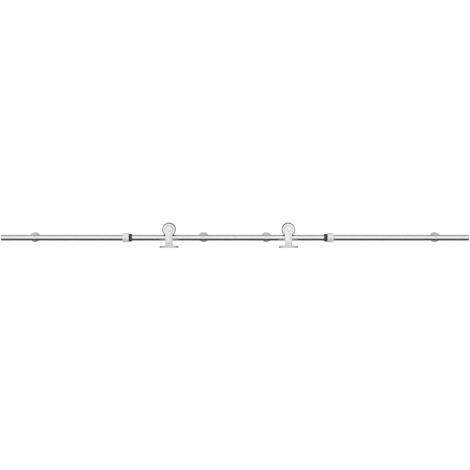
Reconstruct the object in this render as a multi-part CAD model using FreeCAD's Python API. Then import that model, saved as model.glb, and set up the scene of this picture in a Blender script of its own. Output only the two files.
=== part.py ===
import FreeCAD, Part
import math
import os

# Sliding door track set: a round rail in two lengths on four wall standoffs, two top-mount
# roller hangers that run on it, and two clamped door stops with rubber buffers.
# Millimetres. X runs along the rail, +Y points into the wall, +Z is up. The origin is on
# the wall plane, at the middle of the rail and at the height of the rail's axis.

# Rail
tube_length = 1000.0        # each of the two lengths
rail_diameter = 25.0
rail_wall = 1.5
rail_to_wall = 45.0         # rail axis to wall plane
joiner_length = 200.0
joiner_bore = 13.0
joiner_screw_places = (25.0, 75.0)   # from the joint, each side
cap_thickness = 2.0
cap_plug_length = 15.0

# Wall standoffs
outer_standoff_x = 860.0
inner_standoff_x = 135.0
flange_diameter = 44.0
flange_thickness = 5.0
spigot_diameter = 20.0
spigot_length = 8.0
wall_hole_diameter = 8.4
wall_head_diameter = 15.0
wall_head_depth = 5.0
post_diameter = 34.0
rail_screw_diameter = 6.0
rail_screw_head = 10.4
rail_screw_grip = 10.0      # thread inside the post
set_screw_diameter = 5.0

# Hanger wheel
wheel_diameter = 58.0
flange_drop = 6.7           # how far the wheel's sides reach below the top of the rail
side_plate = 2.5
face_inset = 2.2            # front plate's edge below the edge of the core
core_lip = 1.5              # flat land between the groove and a side plate
hub_diameter = 28.0
bearing_bore = 8.0
bearing_outer = 22.0
bearing_width = 7.0
bearing_recess = 1.0
ball_diameter = 4.0
ball_count = 7
race_opening = 2.6          # between the inner and the outer ring
shield_thickness = 0.4
cage_half = 2.6             # half the cage's width; wider than half a ball

# Hanger frame
hanger_places = (("left", -282.5), ("right", 228.5))
strap_width = 31.0
strap_thickness = 5.0
strap_gap = 2.0             # strap to wheel face
foot_length = 82.0
foot_depth = 40.0
foot_thickness = 7.5
foot_top = 35.0             # below the rail axis
foot_front_land = 6.0       # foot in front of the strap
foot_hole_spacing = 56.0
foot_hole_diameter = 6.5
foot_hole_head = 12.5
weld_leg = 3.0
axle_head_diameter = 16.0
axle_head_height = 4.0
axle_socket = 5.0
nut_across_flats = 13.0
nut_height = 6.5
nut_spacer = 2.5
jump_pin_diameter = 12.0
jump_pin_gap = 2.0          # rail to pin
jump_pin_reach = 6.0        # pin's end behind the rail's axis
jump_screw_diameter = 6.0
jump_screw_head = 11.0
jump_screw_head_height = 3.2
jump_screw_grip = 12.0

# Door stops
stop_places = (("left", -468.0, 1), ("right", 409.0, -1))   # side, centre, way to the hangers
collar_length = 26.0
collar_wall = 7.5
collar_round = 2.5
buffer_wall = 4.5
buffer_length = 14.5        # in front of the collar
buffer_seat = 4.0           # inside the collar
clamp_screw_diameter = 6.0

# Clearances, all on the radius
slip = 0.05                 # pieces that slide or screw into each other
tube_play = 0.1             # inside the tube
screw_play = 0.25           # screw in a plain hole
roll_gap = 0.3              # wheel groove to rail
ball_gap = 0.05
cage_gap = 0.7
shield_gap = 0.15
neck_gap = 1.1              # wheel edge to standoff neck
pass_gap = 2.0              # wheel side to standoff post
edge = 0.6                  # broken edges
seam_turn = 45.0            # degrees; keeps the surface's seam away from cross holes

# Worked out from the sizes above
rail_radius = rail_diameter / 2
tread_radius = wheel_diameter / 2 - flange_drop
groove_radius = rail_radius + roll_gap
axle_height = tread_radius + groove_radius
core_radius = wheel_diameter / 2
groove_half = math.sqrt(groove_radius ** 2 - (axle_height - core_radius) ** 2)
core_half = groove_half + core_lip
wheel_half = core_half + side_plate
neck_radius = groove_radius - flange_drop - neck_gap
shoulder = wheel_half + pass_gap
strap_back = wheel_half + strap_gap
strap_front = strap_back + strap_thickness
bearing_face = wheel_half - bearing_recess
pitch_radius = (bearing_bore + bearing_outer) / 4
inner_ring_radius = pitch_radius - race_opening / 2
outer_ring_bore = pitch_radius + race_opening / 2
hub_shoulder = (outer_ring_bore + bearing_outer / 2) / 2
collar_diameter = rail_diameter + 2 * collar_wall
buffer_diameter = rail_diameter + 2 * buffer_wall
jump_pin_height = -(rail_radius + jump_pin_gap + jump_pin_diameter / 2)
standoff_places = (
    ("outer_left", -outer_standoff_x),
    ("inner_left", -inner_standoff_x),
    ("inner_right", inner_standoff_x),
    ("outer_right", outer_standoff_x),
)

X = FreeCAD.Vector(1, 0, 0)
Y = FreeCAD.Vector(0, 1, 0)
Z = FreeCAD.Vector(0, 0, 1)
nodes = {}


def at(x, y, z):
    return FreeCAD.Vector(x, y, z)


def rod(radius, start, end):
    """A round bar from one point to another."""
    run = end - start
    return Part.makeCylinder(radius, run.Length, start, run)


def turned(outline, axis):
    """A solid of revolution; the outline is (distance along the axis, radius) points."""
    if axis == X:
        points = [at(along, radius, 0) for along, radius in outline]
    else:
        points = [at(radius, along, 0) for along, radius in outline]
    face = Part.Face(Part.makePolygon(points + points[:1]))
    solid = face.revolve(at(0, 0, 0), axis, 360)
    if axis == X:
        solid.rotate(at(0, 0, 0), X, seam_turn)
    return solid


def bush(outer, inner, start, end, axis, broken=edge):
    """A ring or sleeve with broken outer edges."""
    cut = min(broken, (outer - inner) / 3, (end - start) / 3)
    outline = [
        (start, inner),
        (start, outer - cut),
        (start + cut, outer),
        (end - cut, outer),
        (end, outer - cut),
        (end, inner),
    ]
    return turned(outline, axis)


def hexagon(across_flats, start, length, axis):
    """A six-sided bar along an axis."""
    reach = across_flats / math.sqrt(3)
    corners = []
    for corner in range(6):
        turn = math.radians(60 * corner + 30)
        side = reach * math.cos(turn)
        rise = reach * math.sin(turn)
        corners.append(start + (at(0, side, rise) if axis == X else at(side, 0, rise)))
    if axis == Z:
        corners = [start + at(c.x - start.x, c.z - start.z, 0) for c in corners]
    face = Part.Face(Part.makePolygon(corners + corners[:1]))
    return face.extrude(axis * length)


def grub(radius, outer_end, inner_end):
    """A set screw with a hexagon socket in its outer end."""
    way = inner_end - outer_end
    length = way.Length
    way.normalize()
    body = rod(radius, outer_end, inner_end)
    socket = Part.makeCylinder(radius * 0.5, length * 0.4, outer_end, way)
    return body.cut(socket)


# Rail

def standoff_holes(side):
    """Cutters for the rail screws: a countersink in front and a plain hole through the back."""
    plain = rail_screw_diameter / 2 + screw_play
    mouth = rail_screw_head / 2 + 1
    front = -rail_radius - 1
    back = rail_diameter
    outline = [(front, 0), (front, mouth), (front + mouth - plain, plain), (back, plain), (back, 0)]
    cutter = turned(outline, Y)
    return [cutter.translated(at(x, 0, 0)) for name, x in standoff_places if x * side > 0]


def rail_tube(side):
    outer = bush(rail_radius, rail_radius - rail_wall, 0, tube_length, X, 0.2)
    if side < 0:
        outer.translate(at(-tube_length, 0, 0))
    cutters = standoff_holes(side)
    for place in joiner_screw_places:
        radius = set_screw_diameter / 2 + screw_play
        cutters.append(rod(radius, at(side * place, 0, 0), at(side * place, rail_radius + 1, 0)))
    return outer.cut(cutters)


def rail_joiner():
    outer = rail_radius - rail_wall - tube_play
    sleeve = bush(outer, joiner_bore / 2, -joiner_length / 2, joiner_length / 2, X)
    threads = []
    for side in (-1, 1):
        for place in joiner_screw_places:
            radius = set_screw_diameter / 2 + slip
            threads.append(rod(radius, at(side * place, 0, 0), at(side * place, outer + 1, 0)))
    return sleeve.cut(threads)


def joiner_screws():
    screws = []
    for side in (-1, 1):
        for place in joiner_screw_places:
            outer_end = at(side * place, rail_radius - 0.3, 0)
            inner_end = at(side * place, joiner_bore / 2 + 0.2, 0)
            screws.append(grub(set_screw_diameter / 2, outer_end, inner_end))
    return Part.makeCompound(screws)


def end_cap(side):
    inner = rail_radius - rail_wall - tube_play
    outline = [
        (-cap_plug_length, 0),
        (-cap_plug_length, inner - edge),
        (edge - cap_plug_length, inner),
        (0, inner),
        (0, rail_radius),
        (cap_thickness - edge, rail_radius),
        (cap_thickness, rail_radius - edge),
        (cap_thickness, 0),
    ]
    cap = turned(outline, X)
    if side < 0:
        cap.rotate(at(0, 0, 0), Z, 180)
    cap.translate(at(side * tube_length, 0, 0))
    return cap


# Standoffs, modelled at x = 0 with the rail's axis at y = 0 and the wall at y = rail_to_wall

def wall_flange():
    wall = rail_to_wall
    face = wall - flange_thickness
    tip = face - spigot_length
    outline = [
        (wall, 0),
        (wall, flange_diameter / 2),
        (face + edge, flange_diameter / 2),
        (face, flange_diameter / 2 - edge),
        (face, spigot_diameter / 2),
        (tip + edge, spigot_diameter / 2),
        (tip, spigot_diameter / 2 - edge),
        (tip, 0),
    ]
    body = turned(outline, Y)
    hole = rod(wall_hole_diameter / 2, at(0, tip, 0), at(0, wall, 0))
    head = rod(wall_head_diameter / 2, at(0, tip, 0), at(0, tip + wall_head_depth, 0))
    return body.cut(hole).cut(head)


def standoff_post():
    face = rail_to_wall - flange_thickness
    outline = [
        (0, 0),
        (0, neck_radius),
        (shoulder, neck_radius),
        (shoulder, post_diameter / 2 - 2 * edge),
        (shoulder + 2 * edge, post_diameter / 2),
        (face, post_diameter / 2),
        (face, 0),
    ]
    body = turned(outline, Y)
    saddle = rod(rail_radius, at(-post_diameter, 0, 0), at(post_diameter, 0, 0))
    socket_end = at(0, face - spigot_length - slip, 0)
    socket = rod(spigot_diameter / 2 + slip, socket_end, at(0, face, 0))
    thread = rod(rail_screw_diameter / 2 + slip, at(0, 0, 0), socket_end)
    set_hole = rod(
        set_screw_diameter / 2 + slip,
        at(0, face - spigot_length / 2, -post_diameter),
        at(0, face - spigot_length / 2, 0),
    )
    return body.cut(saddle).cut(socket).cut(thread).cut(set_hole)


def rail_screw():
    head = rail_screw_head / 2 - slip
    shank = rail_screw_diameter / 2
    front = -rail_radius
    end = shoulder + rail_screw_grip
    outline = [
        (front, 0),
        (front, head),
        (front + head - shank, shank),
        (end - edge, shank),
        (end, shank - edge),
        (end, 0),
    ]
    socket = hexagon(shank, at(0, front, 0), 2.2, Y)
    return turned(outline, Y).cut(socket)


def post_set_screw():
    y = rail_to_wall - flange_thickness - spigot_length / 2
    outer_end = at(0, y, -post_diameter / 2 + 0.4)
    return grub(set_screw_diameter / 2, outer_end, at(0, y, -spigot_diameter / 2))


# Hangers, modelled with the rail's axis at y = 0, z = 0 and the axle above it

def strap():
    """Flat bar with a round top, centred on the axle."""
    half = strap_width / 2
    bottom = -foot_top
    left_foot = at(-half, -strap_front, bottom)
    right_foot = at(half, -strap_front, bottom)
    left_top = at(-half, -strap_front, axle_height)
    right_top = at(half, -strap_front, axle_height)
    crown = at(0, -strap_front, axle_height + half)
    outline = Part.Wire([
        Part.LineSegment(left_foot, right_foot).toShape(),
        Part.LineSegment(right_foot, right_top).toShape(),
        Part.Arc(right_top, crown, left_top).toShape(),
        Part.LineSegment(left_top, left_foot).toShape(),
    ])
    bar = Part.Face(outline).extrude(Y * strap_thickness)
    long_edges = [e for e in bar.Edges if abs(e.BoundBox.YLength) < 0.01 and e.BoundBox.ZMax > bottom + 1]
    bar = bar.makeFillet(edge, long_edges)
    axle_hole = rod(bearing_bore / 2 + slip, at(0, -strap_front, axle_height), at(0, 0, axle_height))
    pin_hole = rod(
        jump_screw_diameter / 2 + screw_play,
        at(0, -strap_front, jump_pin_height),
        at(0, 0, jump_pin_height),
    )
    return bar.cut(axle_hole).cut(pin_hole)


def foot_plate():
    """Plate with round ends, drilled and countersunk for two wood screws."""
    half = foot_depth / 2
    run = foot_length / 2 - half
    front = -strap_front - foot_front_land
    back = front + foot_depth
    middle = front + half
    low = -foot_top - foot_thickness
    outline = Part.Wire([
        Part.LineSegment(at(-run, front, low), at(run, front, low)).toShape(),
        Part.Arc(at(run, front, low), at(run + half, middle, low), at(run, back, low)).toShape(),
        Part.LineSegment(at(run, back, low), at(-run, back, low)).toShape(),
        Part.Arc(at(-run, back, low), at(-run - half, middle, low), at(-run, front, low)).toShape(),
    ])
    plate = Part.Face(outline).extrude(Z * foot_thickness)
    rims = [e for e in plate.Edges if e.BoundBox.ZLength < 0.01]
    plate = plate.makeFillet(edge, rims)
    for side in (-1, 1):
        x = side * foot_hole_spacing / 2
        hole = rod(foot_hole_diameter / 2, at(x, middle, low), at(x, middle, -foot_top))
        sink_depth = (foot_hole_head - foot_hole_diameter) / 2
        sink = Part.makeCone(
            foot_hole_diameter / 2, foot_hole_head / 2, sink_depth, at(x, middle, -foot_top - sink_depth), Z
        )
        plate = plate.cut(hole).cut(sink)
    return plate


def foot_weld():
    """Fillet weld along the back of the strap's lower end."""
    half = strap_width / 2 - weld_leg
    start = at(-half, -strap_back, -foot_top)
    corners = [start, start + Y * weld_leg, start + Z * weld_leg]
    face = Part.Face(Part.makePolygon(corners + corners[:1]))
    return face.extrude(X * (2 * half))


def raised(shape):
    shape.translate(at(0, 0, axle_height))
    return shape


def wheel_core():
    """Grooved polymer ring; the groove's arc is centred on the rail's axis."""
    bore = hub_diameter / 2
    rim_left = at(core_radius, -groove_half, 0)
    rim_right = at(core_radius, groove_half, 0)
    bottom = at(tread_radius, 0, 0)
    low_left = at(bore, -core_half, 0)
    high_left = at(core_radius, -core_half, 0)
    low_right = at(bore, core_half, 0)
    high_right = at(core_radius, core_half, 0)
    outline = Part.Wire([
        Part.LineSegment(low_left, high_left).toShape(),
        Part.LineSegment(high_left, rim_left).toShape(),
        Part.Arc(rim_left, bottom, rim_right).toShape(),
        Part.LineSegment(rim_right, high_right).toShape(),
        Part.LineSegment(high_right, low_right).toShape(),
        Part.LineSegment(low_right, low_left).toShape(),
    ])
    return raised(Part.Face(outline).revolve(at(0, 0, 0), Y, 360))


def wheel_plate(side, radius):
    start, end = sorted((side * core_half, side * wheel_half))
    return raised(bush(radius, hub_diameter / 2, start, end, Y))


def wheel_hub():
    """Sleeve that holds both plates and the core, with a shoulder between its bearings."""
    body = bush(hub_diameter / 2, hub_shoulder, -wheel_half, wheel_half, Y, 0.3)
    for side in (-1, 1):
        shoulder_face = at(0, side * (bearing_face - bearing_width), 0)
        body = body.cut(rod(bearing_outer / 2, shoulder_face, at(0, side * wheel_half, 0)))
    return raised(body)


def both_bearings(make):
    pieces = []
    for side in (-1, 1):
        pieces.append(make(side * (bearing_face - bearing_width / 2)))
    return raised(Part.makeCompound(pieces))


def race(middle):
    """Cutter for the grooves that the balls run in."""
    return Part.makeTorus(pitch_radius, ball_diameter / 2 + ball_gap, at(0, middle, 0), Y)


def bearing_outer_ring(middle):
    half = bearing_width / 2
    ring = bush(bearing_outer / 2, outer_ring_bore, middle - half, middle + half, Y, 0.3)
    return ring.cut(race(middle))


def bearing_inner_ring(middle):
    half = bearing_width / 2
    ring = bush(inner_ring_radius, bearing_bore / 2 + slip, middle - half, middle + half, Y, 0.3)
    return ring.cut(race(middle))


def ball_set(middle):
    balls = []
    for number in range(ball_count):
        turn = 2 * math.pi * number / ball_count
        centre = at(pitch_radius * math.cos(turn), middle, pitch_radius * math.sin(turn))
        balls.append(Part.makeSphere(ball_diameter / 2, centre))
    return Part.makeCompound(balls)


def bearing_cage(middle):
    """Ring with a round pocket for each ball."""
    outer = outer_ring_bore - cage_gap
    inner = inner_ring_radius + cage_gap
    ring = bush(outer, inner, middle - cage_half, middle + cage_half, Y, 0.1)
    pockets = []
    for number in range(ball_count):
        turn = 2 * math.pi * number / ball_count
        end = at(2 * pitch_radius * math.cos(turn), middle, 2 * pitch_radius * math.sin(turn))
        pockets.append(rod(ball_diameter / 2 + ball_gap, at(0, middle, 0), end))
    return ring.cut(pockets)


def bearing_shields(middle):
    shields = []
    for side in (-1, 1):
        outside = middle + side * (bearing_width / 2 - 0.1)
        inside = outside - side * shield_thickness
        start, end = sorted((inside, outside))
        shields.append(bush(outer_ring_bore, inner_ring_radius + shield_gap, start, end, Y, 0.05))
    return Part.makeCompound(shields)


def axle_bolt():
    """Shoulder bolt with a low round head on the strap and a thread for the nut."""
    head = axle_head_diameter / 2
    shank = bearing_bore / 2
    front = -strap_front - axle_head_height
    end = bearing_face + nut_spacer + nut_height + 1.5
    outline = [
        (front, 0),
        (front, head - 1.2),
        (front + 1.2, head),
        (-strap_front, head),
        (-strap_front, shank),
        (end - 0.8, shank),
        (end, shank - 0.8),
        (end, 0),
    ]
    socket = hexagon(axle_socket, at(0, front, 0), axle_head_height * 0.6, Y)
    return raised(turned(outline, Y).cut(socket))


def sleeve_on_axle(start, end):
    return raised(bush(inner_ring_radius, bearing_bore / 2 + slip, start, end, Y, 0.3))


def axle_nut():
    start = bearing_face + nut_spacer
    block = hexagon(nut_across_flats, at(0, start, 0), nut_height, Y)
    dome = turned(
        [
            (start, 0),
            (start, nut_across_flats / 2),
            (start + 0.6, nut_across_flats / math.sqrt(3)),
            (start + nut_height - 0.9, nut_across_flats / math.sqrt(3)),
            (start + nut_height, nut_across_flats / 2),
            (start + nut_height, 0),
        ],
        Y,
    )
    thread = rod(bearing_bore / 2 + slip, at(0, start - 1, 0), at(0, start + nut_height + 1, 0))
    return raised(block.common(dome).cut(thread))


def jump_pin():
    radius = jump_pin_diameter / 2
    body = bush(radius, 0, -strap_back, jump_pin_reach, Y, 1.0)
    thread = rod(
        jump_screw_diameter / 2 + slip, at(0, -strap_back, 0), at(0, -strap_back + jump_screw_grip + 1, 0)
    )
    body = body.cut(thread)
    body.translate(at(0, 0, jump_pin_height))
    return body


def jump_screw():
    head = jump_screw_head / 2
    shank = jump_screw_diameter / 2
    front = -strap_front - jump_screw_head_height
    end = -strap_back + jump_screw_grip
    outline = [
        (front, 0),
        (front, head * 0.55),
        (front + 0.9, head * 0.85),
        (-strap_front - 0.9, head),
        (-strap_front, head),
        (-strap_front, shank),
        (end - edge, shank),
        (end, shank - edge),
        (end, 0),
    ]
    socket = hexagon(jump_screw_diameter * 0.6, at(0, front, 0), jump_screw_head_height * 0.6, Y)
    body = turned(outline, Y).cut(socket)
    body.translate(at(0, 0, jump_pin_height))
    return body


# Door stops, modelled at x = 0 with the buffer on the +X side

def stop_collar():
    half = collar_length / 2
    bore = rail_radius + slip
    outer = collar_diameter / 2
    outline = [(-half, bore), (-half, outer), (half - edge, outer), (half, outer - edge), (half, bore)]
    body = turned(outline, X)
    rims = [e for e in body.Edges if e.BoundBox.XMax < edge - half and e.BoundBox.YLength > 2 * outer - edge]
    body = body.makeFillet(collar_round, rims)
    seat = rod(buffer_diameter / 2 + slip, at(half - buffer_seat, 0, 0), at(half + 1, 0, 0))
    thread = rod(clamp_screw_diameter / 2 + slip, at(0, 0, 0), at(0, -collar_diameter, 0))
    return body.cut(seat).cut(thread)


def stop_buffer():
    half = collar_length / 2
    return bush(
        buffer_diameter / 2, rail_radius + 2 * slip, half - buffer_seat, half + buffer_length, X, 1.5 * edge
    )


def clamp_screw():
    outer_end = at(0, -collar_diameter / 2 + 0.4, 0)
    return grub(clamp_screw_diameter / 2, outer_end, at(0, -rail_radius - slip, 0))


def place(name, shape, x):
    """Moves a copy of a piece from its own place to its place on the rail."""
    piece = shape.copy()
    piece.translate(at(x, -rail_to_wall, 0))
    nodes[name] = piece


def facing(shape, way):
    """Turns a stop round when its buffer faces -X; its clamp screw stays in front."""
    piece = shape.copy()
    return piece if way > 0 else piece.mirror(at(0, 0, 0), X)


place("rail_tube_left", rail_tube(-1), 0)
place("rail_tube_right", rail_tube(1), 0)
place("rail_joiner", rail_joiner(), 0)
place("joiner_set_screws", joiner_screws(), 0)
place("end_cap_left", end_cap(-1), 0)
place("end_cap_right", end_cap(1), 0)

flange = wall_flange()
post = standoff_post()
for name, x in standoff_places:
    place("wall_flange_" + name, flange, x)
    place("standoff_post_" + name, post, x)


def along_rail(shape):
    """One copy of a screw at each standoff."""
    copies = []
    for name, x in standoff_places:
        piece = shape.copy()
        piece.translate(at(x, 0, 0))
        copies.append(piece)
    return Part.makeCompound(copies)


place("rail_screws", along_rail(rail_screw()), 0)
place("post_set_screws", along_rail(post_set_screw()), 0)

hanger = {
    "strap": strap(),
    "foot_plate": foot_plate(),
    "foot_weld": foot_weld(),
    "wheel_core": wheel_core(),
    "wheel_front_plate": wheel_plate(-1, core_radius - face_inset),
    "wheel_back_plate": wheel_plate(1, core_radius),
    "wheel_hub": wheel_hub(),
    "bearing_outer_rings": both_bearings(bearing_outer_ring),
    "bearing_inner_rings": both_bearings(bearing_inner_ring),
    "bearing_balls": both_bearings(ball_set),
    "bearing_cages": both_bearings(bearing_cage),
    "bearing_shields": both_bearings(bearing_shields),
    "axle_bolt": axle_bolt(),
    "axle_front_spacer": sleeve_on_axle(-strap_back, -bearing_face),
    "axle_middle_spacer": sleeve_on_axle(bearing_width - bearing_face, bearing_face - bearing_width),
    "axle_rear_spacer": sleeve_on_axle(bearing_face, bearing_face + nut_spacer),
    "axle_nut": axle_nut(),
    "anti_jump_pin": jump_pin(),
    "anti_jump_screw": jump_screw(),
}
for side, x in hanger_places:
    for name, shape in hanger.items():
        place(side + "_" + name, shape, x)

for side, x, way in stop_places:
    place(side + "_stop_collar", facing(stop_collar(), way), x)
    place(side + "_stop_buffer", facing(stop_buffer(), way), x)
    place(side + "_stop_clamp_screw", facing(clamp_screw(), way), x)

os.makedirs("parts", exist_ok=True)
for name, shape in nodes.items():
    if not shape.isValid():
        raise ValueError(name + " is not a valid shape")
    shape.exportStep("parts/" + name + ".step")
print(len(nodes), "nodes; axle height", axle_height, "wheel half width", wheel_half)
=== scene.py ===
import math

import bmesh
import bpy
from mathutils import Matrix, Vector


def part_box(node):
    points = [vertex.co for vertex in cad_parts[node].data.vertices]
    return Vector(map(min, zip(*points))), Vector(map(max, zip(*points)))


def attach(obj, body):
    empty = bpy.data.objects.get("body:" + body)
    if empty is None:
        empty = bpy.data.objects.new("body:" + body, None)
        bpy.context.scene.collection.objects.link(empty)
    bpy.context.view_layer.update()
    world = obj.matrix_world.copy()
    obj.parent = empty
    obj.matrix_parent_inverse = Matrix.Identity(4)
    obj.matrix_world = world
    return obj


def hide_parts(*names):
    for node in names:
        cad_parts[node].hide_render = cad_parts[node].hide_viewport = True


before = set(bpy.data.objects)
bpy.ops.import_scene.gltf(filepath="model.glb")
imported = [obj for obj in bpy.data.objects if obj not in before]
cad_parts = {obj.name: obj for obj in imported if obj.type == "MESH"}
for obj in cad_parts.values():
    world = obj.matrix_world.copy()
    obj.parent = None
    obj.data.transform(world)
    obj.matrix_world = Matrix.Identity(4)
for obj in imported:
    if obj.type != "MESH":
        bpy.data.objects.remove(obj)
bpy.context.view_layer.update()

bl_info = {
    "name": "Sliding door track set",
    "version": (1, 0, 0),
    "blender": (4, 5, 0),
    "location": "View3D > Sidebar > Track",
    "description": "Finished pieces, materials and a small studio for a round-rail sliding door set",
    "category": "Add Mesh",
}

SIDES = ("left", "right")
STANDOFFS = ("outer_left", "inner_left", "inner_right", "outer_right")
X = Vector((1, 0, 0))
Y = Vector((0, 1, 0))
Z = Vector((0, 0, 1))
SHARP = math.radians(32)      # edges steeper than this stay crisp
WELD = 1e-6                   # points closer than this become one
HAIR = 1e-5                   # how far apart two numbers may be and still be the same place
FIT = 0.00005                 # room on the radius between pieces that fit each other
PAST = 0.001                  # how far a cutter starts outside the piece
TIP = 0.0006                  # chamfer at the end of a shank or plug
SCREW_PLAY = 0.0005           # room on the diameter for a screw in a plain hole
ROLL_GAP = 0.0003             # groove to rail
SOCKET_SHARE = 0.6            # depth of a hexagon socket in its head


# Sizes, finishes and the studio

def length_prop(name, description, default):
    return bpy.props.FloatProperty(name=name, description=description, default=default, unit="LENGTH")


def gloss_prop(name, description, default):
    return bpy.props.FloatProperty(name=name, description=description, default=default, min=0, max=1)


def colour_prop(name, description, default):
    return bpy.props.FloatVectorProperty(
        name=name, description=description, default=default, subtype="COLOR", size=3, min=0, max=1
    )


class TrackSizes(bpy.types.PropertyGroup):
    """Details that the frame's boxes don't give, in metres."""

    rail_wall: length_prop("Rail wall", "Wall thickness of the rail tube", 0.0015)
    screw_shank: length_prop("Rail screw shank", "Diameter of the rail screws", 0.006)
    screw_hole: length_prop("Rail screw hole", "Plain hole through the rail", 0.0065)
    set_screw: length_prop("Set screw", "Diameter of the small set screws", 0.005)
    wall_hole: length_prop("Wall screw hole", "Hole through each wall flange", 0.0084)
    wall_head: length_prop("Wall screw head", "Room for the wall screw's head", 0.015)
    wall_head_depth: length_prop("Wall head depth", "Depth of the room for that head", 0.005)
    flange: length_prop("Flange", "Thickness of the wall flange", 0.005)
    spigot: length_prop("Spigot", "Diameter of the flange's spigot", 0.020)
    neck: length_prop("Neck", "Diameter of the post's neck behind the rail", 0.010)
    pass_gap: length_prop("Pass gap", "Room between a passing wheel and a post", 0.002)
    bearing_bore: length_prop("Bearing bore", "Axle diameter in the bearings", 0.008)
    bearing_width: length_prop("Bearing width", "Width of one bearing", 0.007)
    edge: length_prop("Edge", "Rounding of the machined edges", 0.0005)
    rim_round: length_prop("Rim rounding", "Rounding of the wheel's rim", 0.0016)
    collar_round: length_prop("Collar rounding", "Rounding of a stop collar's outer end", 0.0025)
    strap_hole: length_prop("Strap hole", "Hole in the strap for the anti-jump screw", 0.0065)
    foot_hole: length_prop("Foot hole", "Plain hole through the foot plate", 0.0065)
    foot_head: length_prop("Foot hole mouth", "Mouth of the foot plate's countersink", 0.0125)
    foot_spacing: length_prop("Foot hole spacing", "Between the foot plate's two holes", 0.056)
    axle_socket: length_prop("Axle socket", "Across the flats of the axle bolt's socket", 0.005)
    pin_socket: length_prop("Pin socket", "Across the flats of the anti-jump screw's socket", 0.0036)
    rail_socket: length_prop("Rail screw socket", "Across the flats of the rail screws' sockets", 0.0032)
    clamp_hole: length_prop("Clamp hole", "Hole in a collar for its clamp screw", 0.0061)
    facets: bpy.props.IntProperty(
        name="Facets", description="Sides of the large round pieces", default=128, min=24
    )


class TrackFinish(bpy.types.PropertyGroup):
    """Colours and gloss of the materials."""

    steel: colour_prop("Stainless steel", "Colour of the stainless pieces", (0.74, 0.745, 0.735))
    warm_steel: colour_prop("Hanger steel", "Colour of the straps and wheel faces", (0.75, 0.745, 0.73))
    weld: colour_prop("Weld", "Colour of the weld beads", (0.42, 0.40, 0.37))
    rubber: colour_prop("Rubber", "Colour of the buffers", (0.018, 0.018, 0.019))
    polymer: colour_prop("Polymer", "Colour of the wheel's grooved core", (0.022, 0.022, 0.023))
    cage: colour_prop("Cage resin", "Colour of the bearing cages", (0.16, 0.09, 0.035))
    rail_gloss: gloss_prop("Rail roughness", "Roughness of the polished rail", 0.16)
    flat_gloss: gloss_prop("Bracket roughness", "Roughness of the brushed flat pieces", 0.30)
    standoff_gloss: gloss_prop("Standoff roughness", "Roughness of the posts and flanges", 0.46)
    satin_gloss: gloss_prop("Satin roughness", "Roughness of the stop collars", 0.6)
    turned_gloss: gloss_prop("Turned roughness", "Roughness of the turned pieces", 0.24)


class TrackStudio(bpy.types.PropertyGroup):
    """Camera, light and floor."""

    distance: length_prop("Camera distance", "From the rail's middle to the camera", 8.0)
    height: bpy.props.FloatProperty(
        name="Camera height", description="Camera's angle above the rail",
        default=math.radians(4), subtype="ANGLE",
    )
    view_width: length_prop("View width", "Width of the view at the rail", 2.0135)
    aim_above: length_prop("Aim above", "Aim point above the rail's axis", 0.0116)
    floor_drop: length_prop("Floor", "Floor below the rail's axis", 1.25)
    light: bpy.props.FloatProperty(
        name="Light", description="Strength of the studio light", default=1.0, min=0
    )
    front_light: bpy.props.FloatProperty(
        name="Front light", description="Brightness of the light tent in front", default=1.32, min=0
    )


# Modelling by hand

def nothing_selected():
    """Deselects everything, in object mode."""
    if bpy.context.object and bpy.context.object.mode != "OBJECT":
        bpy.ops.object.mode_set(mode="OBJECT")
    bpy.ops.object.select_all(action="DESELECT")


def only(piece):
    """Leaves one object selected and active."""
    nothing_selected()
    piece.select_set(True)
    bpy.context.view_layer.objects.active = piece


def settle(piece):
    """Puts the piece's place into its mesh."""
    only(piece)
    bpy.ops.object.transform_apply(location=True, rotation=True, scale=True)


def facing(axis):
    """The turn that points a primitive's own Z along an axis."""
    return Z.rotation_difference(axis).to_euler()


def lathe(name, centre, axis, outline, facets=48, ring=True):
    """Turns an outline of (distance along the axis, radius) steps by extruding a circle."""
    nothing_selected()
    steps = list(outline) + ([outline[0]] if ring else [])
    along, radius = steps[0]
    place = centre + axis * along
    bpy.ops.mesh.primitive_circle_add(vertices=facets, radius=radius, location=place, rotation=facing(axis))
    piece = bpy.context.object
    piece.name = name
    bpy.ops.object.mode_set(mode="EDIT")
    bpy.ops.mesh.select_all(action="SELECT")
    for next_along, next_radius in steps[1:]:
        bpy.ops.mesh.extrude_edges_move(
            TRANSFORM_OT_translate={"value": axis * (next_along - along)}
        )
        scale = next_radius / radius
        middle = centre + axis * next_along
        bpy.ops.transform.resize(value=(scale, scale, scale), center_override=middle)
        along, radius = next_along, next_radius
    bpy.ops.mesh.select_all(action="SELECT")
    if ring:
        bpy.ops.mesh.remove_doubles(threshold=WELD)
    else:
        bpy.ops.mesh.fill_holes(sides=0)
    bpy.ops.mesh.select_all(action="SELECT")
    bpy.ops.mesh.normals_make_consistent(inside=False)
    settle(piece)
    return piece


def rounded_corner(face, radius, way, rounding, steps):
    """Outline steps round an outer corner, from the rim to the face; way points from the face inwards."""
    turns = [math.radians(90 * step / steps) for step in range(steps + 1)]
    return [
        (face + way * rounding * (1 - math.sin(turn)), radius - rounding * (1 - math.cos(turn)))
        for turn in turns
    ]


def apply_modifier(piece, kind, **settings):
    only(piece)
    modifier = piece.modifiers.new(kind.title(), kind)
    for key, value in settings.items():
        setattr(modifier, key, value)
    bpy.ops.object.modifier_apply(modifier=modifier.name)


def round_edges(piece, width, segments=2):
    """Rounds every edge that is steeper than SHARP."""
    apply_modifier(
        piece, "BEVEL", width=width, segments=segments, limit_method="ANGLE", angle_limit=SHARP,
        use_clamp_overlap=True,
    )


def smooth(piece):
    only(piece)
    bpy.ops.object.shade_smooth_by_angle(angle=SHARP)


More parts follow.
